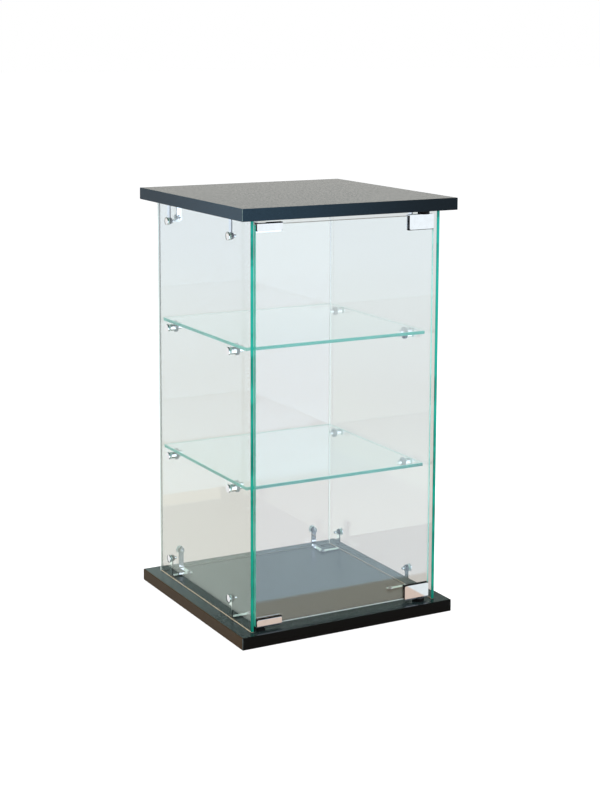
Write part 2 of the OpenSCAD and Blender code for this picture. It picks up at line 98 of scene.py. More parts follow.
class Side(Enum):
    """The sides of a pane that take finishes of their own, as the axis and the way along it."""

    LEFT = (0, -1)
    RIGHT = (0, 1)
    BACK = (1, 1)
    BELOW = (2, -1)
    ABOVE = (2, 1)


class PaneFace(Enum):
    """The kinds of face on a pane, by the place of their finish among its first three."""

    CLEAR = 0
    EDGE = 1
    ARRIS = 2


@dataclass(frozen=True)
class Fade:
    """A colour that takes over from the one before it over a stretch."""

    start: float
    end: float
    colour: Colour


class Graph:
    """The node tree of one material or of the world, with short calls to fill it."""

    def __init__(self, owner: Any) -> None:
        """Empties the owner's tree.

        Args:
            owner: The material or world that the tree belongs to.
        """
        owner.use_nodes = True
        self.tree = owner.node_tree
        self.tree.nodes.clear()

    @classmethod
    def for_material(cls, name: str) -> tuple["Graph", bpy.types.Material]:
        """Makes a new material with an empty tree.

        Args:
            name: The material's name.

        Returns:
            The tree and the material.
        """
        material = bpy.data.materials.new(name)
        return cls(material), material

    def add(
        self, kind: str, settings: Optional[dict[str, Any]] = None, **inputs: Any
    ) -> bpy.types.Node:
        """Adds a node.

        Args:
            kind: Blender's node type, without "ShaderNode".
            settings: Properties of the node itself.
            **inputs: Values or sockets by input name, with _ for a space.

        Returns:
            The new node.
        """
        node = self.tree.nodes.new("ShaderNode" + kind)
        for key, value in (settings or {}).items():
            setattr(node, key, value)
        for key, value in inputs.items():
            self.feed(node.inputs[key.replace("_", " ")], value)
        return node

    def feed(self, target: Socket, value: Any) -> None:
        """Links a socket to an input, or sets the input's own value.

        Args:
            target: The input.
            value: A socket, number or colour.
        """
        if isinstance(value, bpy.types.NodeSocket):
            self.tree.links.new(value, target)
        else:
            target.default_value = value

    def fill(self, node: bpy.types.Node, *values: Any) -> bpy.types.Node:
        """Feeds a node's inputs in their order.

        Args:
            node: The node.
            *values: Sockets, numbers or colours, from the first input on.

        Returns:
            The same node.
        """
        for target, value in zip(node.inputs, values):
            self.feed(target, value)
        return node

    def finish(self, kind: str, surface: Socket) -> None:
        """Ends the tree with an output node of that kind."""
        self.add("Output" + kind, Surface=surface)

    def place(self) -> Socket:
        """Gives the position on the piece, in metres."""
        return self.add("TexCoord").outputs["Object"]

    def facing(self) -> Socket:
        """Gives the direction that the surface faces, in the piece's own axes."""
        return self.add("TexCoord").outputs["Normal"]

    def split(self, vector: Socket) -> list[Socket]:
        """Gives the three parts of a vector."""
        return list(self.add("SeparateXYZ", Vector=vector).outputs)

    def stretch(self, vector: Socket, scale: Sequence[float]) -> Socket:
        """Scales a position along each axis."""
        node = self.add("VectorMath", {"operation": "MULTIPLY"})
        return self.fill(node, vector, tuple(scale)).outputs[0]

    def reach(self, vector: Socket, point: Point = (0, 0, 0)) -> Socket:
        """Gives how far a position is from a point."""
        node = self.add("VectorMath", {"operation": "DISTANCE"})
        return self.fill(node, vector, point).outputs["Value"]

    def maths(self, operation: str, *values: Any) -> Socket:
        """Works out one number from others, by Blender's name of the operation."""
        return self.fill(self.add("Math", {"operation": operation}), *values).outputs[0]

    def blend(self, share: Any, first: Any, second: Any) -> Socket:
        """Mixes two colours.

        Args:
            share: How much of the second colour there is, 0 to 1.
            first: The first colour.
            second: The second colour.

        Returns:
            The mixed colour's socket.
        """
        node = self.add("Mix", {"data_type": "RGBA"})
        for index, value in ((0, share), (6, first), (7, second)):
            self.feed(node.inputs[index], value)
        return node.outputs[2]

    def between(self, value: Socket, span: Span, onto: Span = (0, 1)) -> Socket:
        """Maps a range of values onto another one smoothly, and stops at its ends.

        Args:
            value: The value.
            span: Where it starts and ends, in either order.
            onto: What it gives at the start and at the end.

        Returns:
            The mapped value's socket.
        """
        node = self.add("MapRange", {"interpolation_type": "SMOOTHSTEP"}, Value=value)
        for name, number in zip(("From Min", "From Max", "To Min", "To Max"), (*span, *onto)):
            node.inputs[name].default_value = number
        return node.outputs[0]

    def shade(self, level: Socket, first: Any, fades: Sequence[Fade]) -> Any:
        """Passes from one colour to the next along a level.

        Args:
            level: The value that the colours follow.
            first: The colour before the first fade.
            fades: The colours that follow.

        Returns:
            The colour's socket.
        """
        colour = first
        for fade in fades:
            share = self.between(level, (fade.start, fade.end))
            colour = self.blend(share, colour, fade.colour)
        return colour

    def noise(
        self, vector: Socket, per_metre: float, detail: float = 2, rough: float = 0.5
    ) -> Socket:
        """Gives a soft noise from 0 to 1.

        Args:
            vector: Position to read it at.
            per_metre: How many lumps it has in a metre.
            detail: Blender's detail.
            rough: How strong the finer lumps are.

        Returns:
            The noise's socket.
        """
        node = self.add(
            "TexNoise", Vector=vector, Scale=per_metre, Detail=detail, Roughness=rough
        )
        return node.outputs[0]

    def relief(self, height: Socket, depth: float, strength: float) -> Socket:
        """Bends the shading as that much relief would; depth is in metres."""
        return self.add("Bump", Height=height, Distance=depth, Strength=strength).outputs[0]

    def mirrored(self) -> Socket:
        """Tells what metal, glass or gloss mirrors from what is seen otherwise.

        Returns:
            The socket, 1 for what is mirrored and 0 for the rest.
        """
        path = self.add("LightPath").outputs
        bounced = self.maths("GREATER_THAN", path["Glossy Depth"], 0.5)
        return self.maths("MULTIPLY", bounced, self.maths("SUBTRACT", 1.0, path["Is Diffuse Ray"]))

    def mixed(self, share: Any, first: Socket, second: Socket) -> Socket:
        """Mixes two shaders; share 0 gives the first."""
        return self.fill(self.add("MixShader"), share, first, second).outputs[0]

    def summed(self, first: Socket, second: Socket) -> Socket:
        """Adds two shaders."""
        return self.fill(self.add("AddShader"), first, second).outputs[0]

    def coat(self, **inputs: Any) -> Socket:
        """Makes the common shader from its inputs by name, with _ for a space."""
        return self.add("BsdfPrincipled", **inputs).outputs[0]


class Finish:
    """A finish that makes its material once and hands it out after that."""

    made: ClassVar[dict["Finish", bpy.types.Material]] = {}
    name: str

    def surface(self, graph: Graph) -> Socket:
        """Builds the finish.

        Args:
            graph: The empty tree of its material.

        Returns:
            The shader's socket.
        """
        raise NotImplementedError

    def material(self) -> bpy.types.Material:
        """Gives the finish's material, built at the first call.

        Returns:
            The material.
        """
        if self not in self.made:
            graph, material = Graph.for_material(self.name)
            graph.finish("Material", self.surface(graph))
            self.made[self] = material
        return self.made[self]


@dataclass(frozen=True)
class SlateLaminate(Finish):
    """Dark slate laminate with a fine pebbled face and pale and rusty flecks."""

    name: str = "slate_laminate"
    ground: Colour = paint(34, 49, 51)
    cloud: Colour = paint(43, 57, 58)
    mottle: Colour = paint(22, 33, 36)
    fleck: Colour = paint(96, 92, 84)
    # Painted sheen: a paler tone on the board's left strip outside the glass, growing towards the
    # back; none unless given.
    painted_rim: Optional[Colour] = None
    painted_rim_across: Span = (-0.149, -0.157)
    painted_rim_deep: Span = (-0.18, 0.18)
    gloss: float = 0.12
    rough: Span = (0.17, 0.25)
    clouds_per_metre: float = 30
    mottles_per_metre: float = 330
    mottled: Span = (0.4, 0.62)
    flecks_per_metre: float = 700
    flecked: Span = (0.66, 0.74)
    pebbles_per_metre: float = 300
    pebble_depth: float = 0.02 * MM
    pebble_strength: float = 0.12

    def surface(self, graph: Graph) -> Socket:
        """Builds the laminate's colour, gloss and pebbled relief.

        Args:
            graph: The empty tree of its material.

        Returns:
            The shader's socket.
        """
        at = graph.place()
        clouds = graph.between(graph.noise(at, self.clouds_per_metre, detail=3), CLOUDED)
        mottles = graph.noise(at, self.mottles_per_metre, detail=3, rough=0.7)
        mottle = graph.between(mottles, self.mottled)
        slate = graph.blend(mottle, graph.blend(clouds, self.ground, self.cloud), self.mottle)
        # Painted sheen: the left strip outside the glass is painted paler towards the back, in
        # place of light mirrored there.
        if self.painted_rim:
            across, deep, _ = graph.split(at)
            outside = graph.between(across, self.painted_rim_across)
            towards_back = graph.between(deep, self.painted_rim_deep)
            paler = graph.maths("MULTIPLY", outside, towards_back)
            slate = graph.blend(paler, slate, self.painted_rim)
        flecks = graph.between(graph.noise(at, self.flecks_per_metre, detail=1), self.flecked)
        pebbles = graph.noise(at, self.pebbles_per_metre, detail=3, rough=0.6)
        return graph.coat(
            Base_Color=graph.blend(flecks, slate, self.fleck),
            Roughness=graph.between(pebbles, GRAINED, self.rough),
            IOR=INDEX,
            Specular_IOR_Level=self.gloss,
            Normal=graph.relief(pebbles, self.pebble_depth, self.pebble_strength),
        )


@dataclass(frozen=True)
class EdgeBanding(Finish):
    """Banding glued along a board's edge, painted lighter towards one corner, with bevels painted
    paler as wear and a painted highlight.
    """

    name: str
    painted_light_near: Colour
    painted_far: Colour
    # Colour of the bevels: partly wear, partly a painted highlight.
    bevel: Colour
    gloss: float
    rough: Span = (0.36, 0.5)
    # Painted light: the banding is painted brighter at this corner and fades over this length.
    corner: Point = (-0.178, -0.178, 0.625)
    length: float = 0.34
    grains_per_metre: float = 420
    grain_scale: Point = (1, 1, 4)
    grain_shade: Span = (0.84, 1.16)
    grain_depth: float = 0.04 * MM
    grain_strength: float = 0.5
    bevelled: Span = (0.96, 0.84)
    upright: Span = (0.5, 0.2)
    scrapes_per_metre: float = 160
    worn_and_highlit: Span = (0.3, 0.6)
    scrape_share: Span = (0.55, 1)

    def surface(self, graph: Graph) -> Socket:
        """Builds the banding's grain, its painted light from the corner on, and its bevels,
        painted paler as wear and a painted highlight.

        Args:
            graph: The empty tree of its material.

        Returns:
            The shader's socket.
        """
        at = graph.place()
        stretched = graph.stretch(at, self.grain_scale)
        grain = graph.noise(stretched, self.grains_per_metre, detail=3, rough=0.6)
        # Painted light: brighter at the corner, fading with the distance from it.
        away = graph.between(graph.reach(at, self.corner), (0, self.length))
        colour = graph.add(
            "HueSaturation",
            Color=graph.blend(away, self.painted_light_near, self.painted_far),
            Value=graph.between(grain, CLOUDED, self.grain_shade),
        ).outputs[0]
        # The upright bevels are painted paler: partly wear, broken up by scrapes, partly a painted
        # highlight along the corners.
        sizes = [graph.maths("ABSOLUTE", part) for part in graph.split(graph.facing())]
        widest = graph.maths("MAXIMUM", graph.maths("MAXIMUM", sizes[0], sizes[1]), sizes[2])
        slanted = graph.between(widest, self.bevelled)
        upright = graph.between(sizes[2], self.upright)
        scrapes = graph.noise(at, self.scrapes_per_metre, detail=3)
        scrapes = graph.between(scrapes, self.worn_and_highlit, self.scrape_share)
        worn_and_highlit = graph.maths("MULTIPLY", graph.maths("MULTIPLY", slanted, upright), scrapes)
        return graph.coat(
            Base_Color=graph.blend(worn_and_highlit, colour, self.bevel),
            Roughness=graph.between(grain, GRAINED, self.rough),
            IOR=INDEX,
            Specular_IOR_Level=self.gloss,
            Normal=graph.relief(grain, self.grain_depth, self.grain_strength),
        )


@dataclass(frozen=True)
class PaneGlass(Finish):
    """Clear float glass that bends and mirrors what is seen and lets the lamps through."""

    name: str = "float_glass"
    tint: Colour = (0.986, 0.996, 0.992, 1.0)
    lamp_tint: Colour = (0.95, 0.965, 0.96, 1.0)
    waves_per_metre: float = 9
    wave_depth: float = 0.2 * MM
    wave_strength: float = 0.12

    def surface(self, graph: Graph) -> Socket:
        """Builds glass to look through and a clear sheet for light from lamps and walls.

        Args:
            graph: The empty tree of its material.

        Returns:
            The shader's socket.
        """
        waves = graph.noise(graph.place(), self.waves_per_metre, detail=1)
        glass = graph.add(
            "BsdfGlass",
            Color=self.tint,
            Roughness=0.0,
            IOR=INDEX,
            Normal=graph.relief(waves, self.wave_depth, self.wave_strength),
        ).outputs[0]
        clear = graph.add("BsdfTransparent", Color=self.lamp_tint).outputs[0]
        path = graph.add("LightPath").outputs
        lit = graph.maths("MAXIMUM", path["Is Shadow Ray"], path["Is Diffuse Ray"])
        return graph.mixed(lit, glass, clear)


@dataclass(frozen=True)
class GlassEdge(Finish):
    """Polished edge of a pane, green, glowing with painted light of its own and painted paler
    towards the top.
    """

    name: str = "glass_edge"
    low: Colour = paint(8, 138, 116)
    high: Colour = paint(34, 160, 146)
    streak: Colour = paint(6, 104, 90)
    painted_rise: Span = (0.018, 0.616)
    # Painted light: the edge glows in its own colour though it is no lamp.
    painted_glow: float = 0.35
    along: Axis = Axis.Z
    rough: float = 0.14
    gloss: float = 0.12
    streaks_across: float = 260
    streaks_along: float = 9
    streaked: Span = (0.36, 0.66)
    streak_depth: float = 0.03 * MM
    streak_strength: float = 0.4
    patches: Point = (8, 8, 34)
    patched: Span = (0.42, 0.6)

    def surface(self, graph: Graph) -> Socket:
        """Builds the edge's green, painted paler towards the top as painted light, with streaks
        along it.

        Args:
            graph: The empty tree of its material.

        Returns:
            The shader's socket.
        """
        at = graph.place()
        scale = [self.streaks_across] * 3
        scale[self.along.value] = self.streaks_along
        streaks = graph.noise(graph.stretch(at, scale), 1, detail=4, rough=0.65)
        streaks = graph.between(streaks, self.streaked)
        patches = graph.noise(graph.stretch(at, self.patches), 1, detail=3)
        patches = graph.between(patches, self.patched)
        # Painted light: the green is painted paler towards the top.
        height = graph.between(graph.split(at)[2], self.painted_rise)
        streaked = graph.maths("MULTIPLY", streaks, patches)
        colour = graph.blend(streaked, graph.blend(height, self.low, self.high), self.streak)
        return graph.coat(
            Base_Color=colour,
            Roughness=self.rough,
            IOR=INDEX,
            Specular_IOR_Level=self.gloss,
            Emission_Color=colour,
            Emission_Strength=self.painted_glow,
            Normal=graph.relief(streaks, self.streak_depth, self.streak_strength),
        )


@dataclass(frozen=True)
class GroundArris(Finish):
    """Seamed corner of a pane, ground dull and paler than the edge, glowing with painted light."""

    name: str
    ground: Colour
    dull: Colour
    # Painted light: the seam glows in its own colour.
    painted_glow: float = 0.2
    rough: float = 0.45
    gloss: float = 0.2
    grits_per_metre: float = 1400
    gritted: Span = (0.35, 0.65)
    grit_depth: float = 0.05 * MM
    grit_strength: float = 0.5

    def surface(self, graph: Graph) -> Socket:
        """Builds the frosted seam.

        Args:
            graph: The empty tree of its material.

        Returns:
            The shader's socket.
        """
        grit = graph.noise(graph.place(), self.grits_per_metre)
        colour = graph.blend(graph.between(grit, self.gritted), self.ground, self.dull)
        return graph.coat(
            Base_Color=colour,
            Roughness=self.rough,
            IOR=INDEX,
            Specular_IOR_Level=self.gloss,
            Emission_Color=colour,
            Emission_Strength=self.painted_glow,
            Normal=graph.relief(grit, self.grit_depth, self.grit_strength),
        )


@dataclass(frozen=True)
class Metal(Finish):
    """Metal with a faint buffing haze and fine scratches, and where given painted dark rims where
    it is seen edge-on.
    """

    name: str = "chrome"
    ground: Colour = (0.87, 0.885, 0.9, 1.0)
    haze: Colour = (0.84, 0.85, 0.865, 1.0)
    rough: Span = (0.02, 0.06)
    scratch_depth: float = 0.004 * MM
    painted_rim: Optional[Colour] = None
    painted_rim_facing: Span = (0.5, 0.8)
    clouds_per_metre: float = 120
    scratches: Point = (900, 900, 90)
    scratch_strength: float = 0.6
    worn: Span = (0.7, 1.3)

    def surface(self, graph: Graph) -> Socket:
        """Builds the metal's tone, gloss and scratches.

        Args:
            graph: The empty tree of its material.

        Returns:
            The shader's socket.
        """
        at = graph.place()
        cloud = graph.noise(at, self.clouds_per_metre, detail=3)
        scratches = graph.noise(graph.stretch(at, self.scratches), 1, detail=3, rough=0.7)
        colour = graph.blend(graph.between(cloud, CLOUDED), self.ground, self.haze)
        # Painted reflection: the colour darkens where the surface is seen edge-on, in place of
        # dark surroundings mirrored there.
        if self.painted_rim:
            grazing = graph.add("LayerWeight", Blend=0.5).outputs["Facing"]
            colour = graph.blend(graph.between(grazing, self.painted_rim_facing), colour, self.painted_rim)
        wear = graph.maths("ADD", cloud, scratches)
        return graph.coat(
            Base_Color=colour,
            Metallic=1.0,
            Roughness=graph.between(wear, self.worn, self.rough),
            Normal=graph.relief(scratches, self.scratch_depth, self.scratch_strength),
        )


@dataclass(frozen=True)
class Moulded(Finish):
    """Moulded plastic or rubber with a fine grained skin."""

    name: str = "black_plastic"
    ground: Colour = paint(9, 9, 10)
    pale: Colour = paint(17, 17, 18)
    rough: Span = (0.5, 0.66)
    gloss: float = 0.2
    index: float = 1.48
    clouds_per_metre: float = 200
    grains_per_metre: float = 1800
    grain_depth: float = 0.04 * MM
    grain_strength: float = 0.5

    def surface(self, graph: Graph) -> Socket:
        """Builds the skin's tone and grain.

        Args:
            graph: The empty tree of its material.

        Returns:
            The shader's socket.
        """
        at = graph.place()
        grain = graph.noise(at, self.grains_per_metre)
        clouds = graph.between(graph.noise(at, self.clouds_per_metre, detail=3), CLOUDED)
        return graph.coat(
            Base_Color=graph.blend(clouds, self.ground, self.pale),
            Roughness=graph.between(grain, GRAINED, self.rough),
            IOR=self.index,
            Specular_IOR_Level=self.gloss,
            Normal=graph.relief(grain, self.grain_depth, self.grain_strength),
        )


@dataclass(frozen=True)
class SoftClear(Finish):
    """Soft clear gasket, milky and slightly green against the glass."""

    name: str = "soft_gasket"
    ground: Colour = paint(196, 214, 208)
    pale: Colour = paint(214, 226, 222)
    rough: Span = (0.3, 0.45)
    index: float = 1.45
    clouds_per_metre: float = 500
    cloud_depth: float = 0.03 * MM
    cloud_strength: float = 0.4

    def surface(self, graph: Graph) -> Socket:
        """Builds the milky skin.

        Args:
            graph: The empty tree of its material.

        Returns:
            The shader's socket.
        """
        cloud = graph.noise(graph.place(), self.clouds_per_metre)
        return graph.coat(
            Base_Color=graph.blend(cloud, self.ground, self.pale),
            Roughness=graph.between(cloud, GRAINED, self.rough),
            IOR=self.index,
            Normal=graph.relief(cloud, self.cloud_depth, self.cloud_strength),
        )


CHROME = Metal()
# Chrome with painted dark rims as a painted reflection, for the bolts.
PAINTED_RIM_CHROME = Metal("chrome_painted_dark_rim", painted_rim=(0.02, 0.022, 0.025, 1))
# Painted shade and dark reflection: near-black chrome for the narrow sides of strips and nuts.
PAINTED_DARK_CHROME = Metal(
    "chrome_painted_dark_sides", (0.025, 0.028, 0.032, 1), (0.012, 0.014, 0.016, 1), (0.12, 0.25)
)
NICKEL = Metal("nickel", (0.66, 0.64, 0.6, 1), (0.56, 0.54, 0.5, 1), (0.16, 0.28))
ZINC = Metal(
    "zinc_steel", (0.62, 0.64, 0.66, 1), (0.5, 0.52, 0.54, 1), (0.2, 0.34), 0.01 * MM
)
BLACK = Moulded()
GREY_RUBBER = Moulded("grey_rubber", paint(98, 107, 116), paint(112, 121, 130), (0.45, 0.62))
MAGNETIC = Moulded("magnetic_rubber", paint(10, 10, 11), paint(19, 18, 18), (0.6, 0.75))
GASKET = SoftClear()
# The side panels' bottom edges, painted pale tan and glowing as a painted highlight, stronger on
# the left panel than on the right.
LEFT_SEAT = GroundArris("left_seat_painted_highlight", paint(222, 206, 178), paint(200, 186, 162), 0.6)
RIGHT_SEAT = GroundArris("right_seat_painted_highlight", paint(186, 168, 142), paint(164, 150, 130), 0.25)


@dataclass
class SubAssembly:
    """A group of pieces that are dressed together."""

    title: ClassVar[str] = "pieces"
    body: Body = Body.CABINET

    def dress(self, node: str, finish: Finish) -> bpy.types.Object:
        """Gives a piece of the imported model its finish.

        Args:
            node: The piece's name.
            finish: The finish it takes.

        Returns:
            The piece.
        """
        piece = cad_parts[node]
        piece.data.materials.clear()
        piece.data.materials.append(finish.material())
        LOG.info("%s: %s in %s", self.title, node, finish.name)
        return piece

    def eased(
        self,
        node: str,
        radius: float,
        finish: Finish,
        slot: str,
        painted_dark_sides: Optional[Finish] = None,
        thick: float = 0.0,
    ) -> bpy.types.Object:
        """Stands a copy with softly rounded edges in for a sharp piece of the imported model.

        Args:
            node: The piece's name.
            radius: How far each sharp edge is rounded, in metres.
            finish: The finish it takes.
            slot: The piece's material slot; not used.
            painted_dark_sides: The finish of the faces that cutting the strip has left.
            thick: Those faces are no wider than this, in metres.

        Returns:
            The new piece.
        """
        mesh = bpy.data.meshes.new(f"{node}_eased")
        shape = bmesh.new()
        shape.from_mesh(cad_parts[node].data)
        bmesh.ops.remove_doubles(shape, verts=shape.verts, dist=SAME_POINT)
        bmesh.ops.dissolve_limit(
            shape, angle_limit=FLAT_BEND, verts=shape.verts, edges=shape.edges
        )
        for face in shape.faces:
            face.smooth = True
            # Narrow faces take the painted dark finish, when one is given.
            face.material_index = int(painted_dark_sides is not None and self.is_cut(face, thick))
        for edge in shape.edges:
            edge.smooth = edge.calc_face_angle(0) < SOFT_BEND
        shape.to_mesh(mesh)
        shape.free()
        for coat in (finish, painted_dark_sides) if painted_dark_sides else (finish,):
            mesh.materials.append(coat.material())
        piece = bpy.data.objects.new(f"{node}_eased", mesh)
        bpy.context.scene.collection.objects.link(piece)
        self.rounded(piece, radius)
        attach(piece, self.body.value)
        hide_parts(node)
        LOG.info("%s: %s, %.2f mm edges, %s", self.title, node, radius / MM, finish.name)
        return piece

    @staticmethod
    def rounded(piece: bpy.types.Object, radius: float) -> None:
        """Rounds a piece's sharp edges.

        Args:
            piece: The piece.
            radius: How far each edge is rounded, in metres.
        """
        rounding = piece.modifiers.new("rounding", "BEVEL")
        rounding.width = radius
        rounding.segments = ROUND_STEPS
        rounding.limit_method = "ANGLE"
        rounding.angle_limit = SOFT_BEND
        rounding.harden_normals = True
        rounding.use_clamp_overlap = True

    @staticmethod
    def is_cut(face: bmesh.types.BMFace, thick: float) -> bool:
        """Tells a face left by cutting a strip: long, narrow, and bent only across its width.

        Args:
            face: The face.
            thick: The widest that such a face may be, in metres.

        Returns:
            True for a face left by cutting.
        """
        soft = [edge for edge in face.edges if edge.calc_face_angle(0) < SOFT_BEND]
        longest = max((edge.calc_length() for edge in soft), default=0.0)
        return longest < thick and 2 * face.calc_area() / face.calc_perimeter() < thick

    def build(self) -> None:
        """Makes and dresses the group's pieces."""
        raise NotImplementedError


@dataclass
class Boards(SubAssembly):
    """The base and top boards and their edge banding."""

    title: ClassVar[str] = "boards"
    # The base carries a painted sheen on its left strip outside the glass.
    base: SlateLaminate = SlateLaminate("base_laminate", painted_rim=paint(82, 94, 93))
    top: SlateLaminate = SlateLaminate()
    # The ends and sides are one banding painted as lit and shaded copies: the ends darker as
    # painted shade, the sides lighter as painted light, the base's sides warm brown as a painted
    # reflection.
    base_ends: EdgeBanding = EdgeBanding(
        "base_end_banding_painted_shade", paint(17, 17, 16), paint(17, 17, 16), paint(108, 120, 122), 0.04
    )
    base_sides: EdgeBanding = EdgeBanding(
        "base_side_banding_painted_warm_light", paint(70, 56, 40), paint(70, 56, 40), paint(128, 124, 118), 0.04
    )
    top_ends: EdgeBanding = EdgeBanding(
        "top_end_banding_painted_shade", paint(42, 60, 73), paint(23, 32, 38), paint(122, 142, 142), 0.06
    )
    top_sides: EdgeBanding = EdgeBanding(
        "top_side_banding_painted_light", paint(54, 72, 85), paint(38, 53, 64), paint(122, 142, 142), 0.1
    )

    def build(self) -> None:
        """Dresses the boards and their bands."""
        self.dress("base_board", self.base)
        self.dress("top_board", self.top)
        self.dress("base_end_bands", self.base_ends)
        self.dress("base_side_bands", self.base_sides)
        self.dress("top_end_bands", self.top_ends)
        self.dress("top_side_bands", self.top_sides)


@dataclass
class Glazing(SubAssembly):
    """Panes of glass, each with clear faces, green edges and dull seamed corners."""

    title: ClassVar[str] = "glass"
    square_on: ClassVar[float] = 0.9
    slanted: ClassVar[float] = 0.4
    margin: ClassVar[float] = 1 * MM

    def kind(self, face: bpy.types.MeshPolygon, through: Axis) -> PaneFace:
        """Tells what a face of a pane is, by how square it is to the thickness.

        Args:
            face: The face.
            through: The direction through the pane's thickness.

        Returns:
            The kind of face.
        """
        square = abs(face.normal[through.value])
        if square > self.square_on:
            return PaneFace.CLEAR
        return PaneFace.ARRIS if square > self.slanted else PaneFace.EDGE

    def glaze(
        self,
        node: str,
        through: Axis,
        edge: Finish,
        arris: Finish,
        trims: Optional[dict[Side, tuple[Finish, Finish]]] = None,
    ) -> bpy.types.Object:
        """Dresses a pane: its faces, its edges and the corners between them.

        Args:
            node: The pane's name.
            through: The direction through its thickness.
            edge: Finish of its edges and holes.
            arris: Finish of its seamed corners.
            trims: Sides with finishes of their own, one for the edge and one for its corners.

        Returns:
            The pane.
        """
        sides = trims or {}
        pane = self.dress(node, PaneGlass())
        for finish in (edge, arris, *(finish for pair in sides.values() for finish in pair)):
            pane.data.materials.append(finish.material())
        low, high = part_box(node)
        for face in pane.data.polygons:
            kind = self.kind(face, through)
            face.material_index = kind.value
            if kind is PaneFace.CLEAR:
                continue
            for index, side in enumerate(sides, 1):
                along, way = side.value
                limit = (low, high)[way > 0][along]
                outward = face.normal[along] * way > self.slanted
                if outward and abs(face.center[along] - limit) < self.margin:
                    face.material_index = kind.value + 2 * index
        return pane


@dataclass
class GlassCase(Glazing):
    """The two side panels and the back panel."""

    title: ClassVar[str] = "case"
    edge: GlassEdge = GlassEdge()
    arris: GlassEdge = GlassEdge(
        "glass_arris", paint(8, 118, 98), paint(30, 146, 132), paint(4, 84, 70)
    )
    # Copies of the green edge painted grey and pale as painted light, for the side panels' rear
    # edges.
    rear: GlassEdge = GlassEdge(
        "rear_edge_painted_grey", paint(84, 118, 114), paint(128, 162, 158), paint(62, 98, 92), painted_glow=0.25
    )
    pale: GlassEdge = GlassEdge(
        "rear_edge_painted_pale", paint(232, 240, 238), paint(238, 246, 246), paint(222, 234, 232), painted_glow=0.4
    )
    clear: PaneGlass = PaneGlass()
    # The back panel's bottom edge, grey and faintly glowing with painted light.
    seated: GroundArris = GroundArris(
        "seated_back", paint(128, 134, 128), paint(112, 118, 114), 0.1
    )

    def build(self) -> None:
        """Dresses the fixed panels, whose rear edges are painted pale or grey in place of the
        green, or stay clear.
        """
        left = {Side.BELOW: (LEFT_SEAT, LEFT_SEAT), Side.BACK: (self.pale, self.rear)}
        right = {Side.BELOW: (RIGHT_SEAT, RIGHT_SEAT), Side.BACK: (self.pale, self.pale)}
        back = {Side.BELOW: (self.seated, self.seated)}
        self.glaze("left_side_glass", Axis.X, self.edge, self.arris, left)
        self.glaze("right_side_glass", Axis.X, self.edge, self.arris, right)
        self.glaze("back_glass", Axis.Y, self.clear, self.clear, back)


@dataclass
class Shelves(Glazing):
    """The two loose shelves."""

    title: ClassVar[str] = "shelves"
    edge: GlassEdge = GlassEdge(
        "shelf_edge", paint(50, 138, 126), paint(78, 162, 150), paint(34, 108, 98),
        (0.2, 0.45), 0.25, Axis.X,
    )
    arris: GroundArris = GroundArris("shelf_arris", paint(120, 190, 178), paint(96, 172, 158))
    # Painted light: a paler copy of the edge for the shelves' right and back edges.
    painted_far: GlassEdge = GlassEdge(
        "shelf_far_edge_painted_pale", paint(176, 206, 200), paint(196, 218, 214), paint(160, 194, 186),
        (0.2, 0.45), 0.25, Axis.X,
    )

    def build(self) -> None:
        """Dresses both shelves, whose right and back edges are painted paler, as they gather less
        light.
        """
        ends = {Side.RIGHT: (self.painted_far, self.painted_far), Side.BACK: (self.painted_far, self.painted_far)}
        for node in ("lower_shelf_glass", "upper_shelf_glass"):
            self.glaze(node, Axis.Z, self.edge, self.arris, ends)


@dataclass
class ShelfStuds(SubAssembly):
    """The chromed studs that carry the shelves, with caps, gaskets and soft rings."""

    title: ClassVar[str] = "shelf studs"

    def build(self) -> None:
        """Dresses the caps, gaskets, barrels and rings."""
        self.dress("shelf_stud_caps", CHROME)
        self.dress("shelf_stud_gaskets", GASKET)
        self.dress("shelf_stud_barrels", CHROME)
        self.dress("shelf_stud_rings", GREY_RUBBER)


@dataclass
class CornerBrackets(SubAssembly):
    """The bent strips, bolts, nuts and screws at the corners of the case."""

    title: ClassVar[str] = "corner brackets"
    rounding: float = 0.35 * MM
    cut_width: float = 2.6 * MM

    def strip(self, node: str) -> None:
        """Rounds a chromed piece, whose narrow sides left by cutting are painted dark as shade and
        dark reflection, and dresses it.
        """
        self.eased(node, self.rounding, CHROME, "chrome", PAINTED_DARK_CHROME, self.cut_width)

    def build(self) -> None:
        """Rounds the edges of the strips and fasteners and dresses them."""
        for level in ("lower", "upper"):
            for row in ("rear", "front"):
                self.strip(f"{level}_{row}_brackets")
        self.eased("bracket_bolts", self.rounding, PAINTED_RIM_CHROME, "chrome")
        self.strip("bracket_nuts")
        self.dress("bracket_gaskets", GASKET)
        self.dress("bracket_wood_screws", ZINC)


